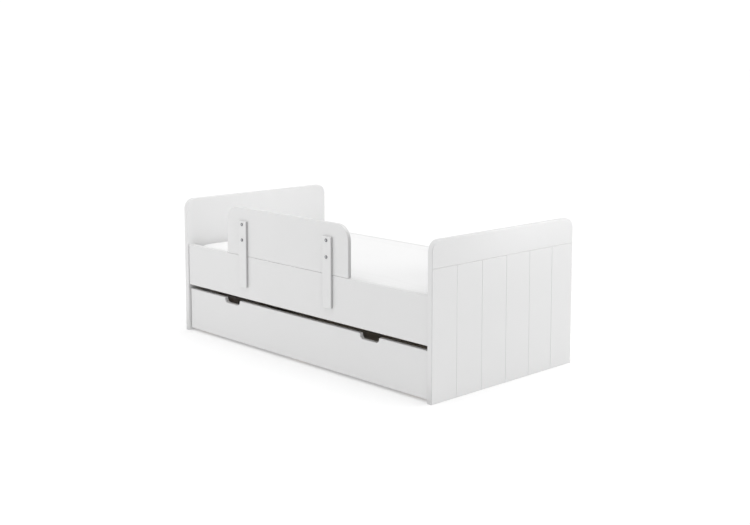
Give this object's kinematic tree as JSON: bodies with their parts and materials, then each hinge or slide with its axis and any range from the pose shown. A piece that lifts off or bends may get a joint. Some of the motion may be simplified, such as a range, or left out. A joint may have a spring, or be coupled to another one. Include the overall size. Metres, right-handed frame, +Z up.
{
  "type": "toddler bed",
  "caption": "Low child's bed with grooved end panels, slatted base, mattress, lift-off side guard and a roll-out drawer on castors underneath.",
  "frame": {"origin": "middle of the bed's bounding box, on the floor", "axes": "+X from the headboard to the footboard, -Y the front with the guard and the drawer, +Z up"},
  "size_m": [1.444, 0.7706, 0.5633],
  "materials": {
    "white_paint": "satin white paint on fibreboard",
    "bare_pine": "planed, unfinished",
    "grey_hardboard": "grey melamine foil",
    "webbing": "woven tape",
    "cotton": "soft woven cover over foam",
    "zinc_steel": "zinc plated",
    "grey_plastic": "moulded, matt"
  },
  "bodies": {
    "bed_frame": {"headboard": "white_paint", "footboard": "white_paint", "front_rail": "white_paint", "back_rail": "white_paint", "cam_lock_front_head": "zinc_steel", "cam_lock_front_foot": "zinc_steel", "cam_lock_back_head": "zinc_steel", "cam_lock_back_foot": "zinc_steel", "cam_bolt_front_head": "zinc_steel", "cam_bolt_front_foot": "zinc_steel", "cam_bolt_back_head": "zinc_steel", "cam_bolt_back_foot": "zinc_steel", "front_ledger": "bare_pine", "back_ledger": "bare_pine", "slat_01": "bare_pine", "slat_02": "bare_pine", "slat_03": "bare_pine", "slat_04": "bare_pine", "slat_05": "bare_pine", "slat_06": "bare_pine", "slat_07": "bare_pine", "slat_08": "bare_pine", "slat_09": "bare_pine", "slat_10": "bare_pine", "slat_strap_front": "webbing", "slat_strap_back": "webbing"},
    "mattress": {"mattress": "cotton"},
    "guard": {"guard_panel": "white_paint", "guard_batten_left": "white_paint", "guard_batten_right": "white_paint", "guard_strip_left": "white_paint", "guard_strip_right": "white_paint", "guard_bolt_left_upper": "zinc_steel", "guard_bolt_left_lower": "zinc_steel", "guard_bolt_right_upper": "zinc_steel", "guard_bolt_right_lower": "zinc_steel", "guard_nut_left_upper": "zinc_steel", "guard_nut_left_lower": "zinc_steel", "guard_nut_right_upper": "zinc_steel", "guard_nut_right_lower": "zinc_steel"},
    "drawer": {"drawer_front": "white_paint", "drawer_side_left": "white_paint", "drawer_side_right": "white_paint", "drawer_back": "white_paint", "drawer_bottom": "grey_hardboard", "drawer_bearer_left": "bare_pine", "drawer_bearer_middle": "bare_pine", "drawer_bearer_right": "bare_pine", "castor_bracket_left_front": "zinc_steel", "castor_bracket_left_back": "zinc_steel", "castor_bracket_right_front": "zinc_steel", "castor_bracket_right_back": "zinc_steel", "castor_axle_left_front": "zinc_steel", "castor_axle_left_back": "zinc_steel", "castor_axle_right_front": "zinc_steel", "castor_axle_right_back": "zinc_steel"},
    "wheel_left_front": {"castor_wheel_left_front": "grey_plastic"},
    "wheel_left_back": {"castor_wheel_left_back": "grey_plastic"},
    "wheel_right_front": {"castor_wheel_right_front": "grey_plastic"},
    "wheel_right_back": {"castor_wheel_right_back": "grey_plastic"}
  },
  "joints": [
    {"name": "drawer_slide", "type": "slide", "parent": "bed_frame", "child": "drawer", "axis": [0, -1, 0], "range_m": [0, 0.6]},
    {"name": "guard_lift", "type": "slide", "parent": "bed_frame", "child": "guard", "axis": [0, 0, 1], "range_m": [0, 0.2]},
    {"name": "mattress_lift", "type": "slide", "parent": "bed_frame", "child": "mattress", "axis": [0, 0, 1], "range_m": [0, 0.25]},
    {"name": "wheel_left_front", "type": "hinge", "parent": "drawer", "child": "wheel_left_front", "pos_m": [-0.61, -0.2759, 0.018], "axis": [1, 0, 0], "range_deg": [0, 1915]},
    {"name": "wheel_left_back", "type": "hinge", "parent": "drawer", "child": "wheel_left_back", "pos_m": [-0.61, 0.1991, 0.018], "axis": [1, 0, 0], "range_deg": [0, 1915]},
    {"name": "wheel_right_front", "type": "hinge", "parent": "drawer", "child": "wheel_right_front", "pos_m": [0.61, -0.2759, 0.018], "axis": [1, 0, 0], "range_deg": [0, 1915]},
    {"name": "wheel_right_back", "type": "hinge", "parent": "drawer", "child": "wheel_right_back", "pos_m": [0.61, 0.1991, 0.018], "axis": [1, 0, 0], "range_deg": [0, 1915]}
  ],
  "couplings": [
    {"joint": "wheel_left_front", "follows": "drawer_slide", "rad_per_m": 55.556},
    {"joint": "wheel_left_back", "follows": "drawer_slide", "rad_per_m": 55.556},
    {"joint": "wheel_right_front", "follows": "drawer_slide", "rad_per_m": 55.556},
    {"joint": "wheel_right_back", "follows": "drawer_slide", "rad_per_m": 55.556}
  ]
}
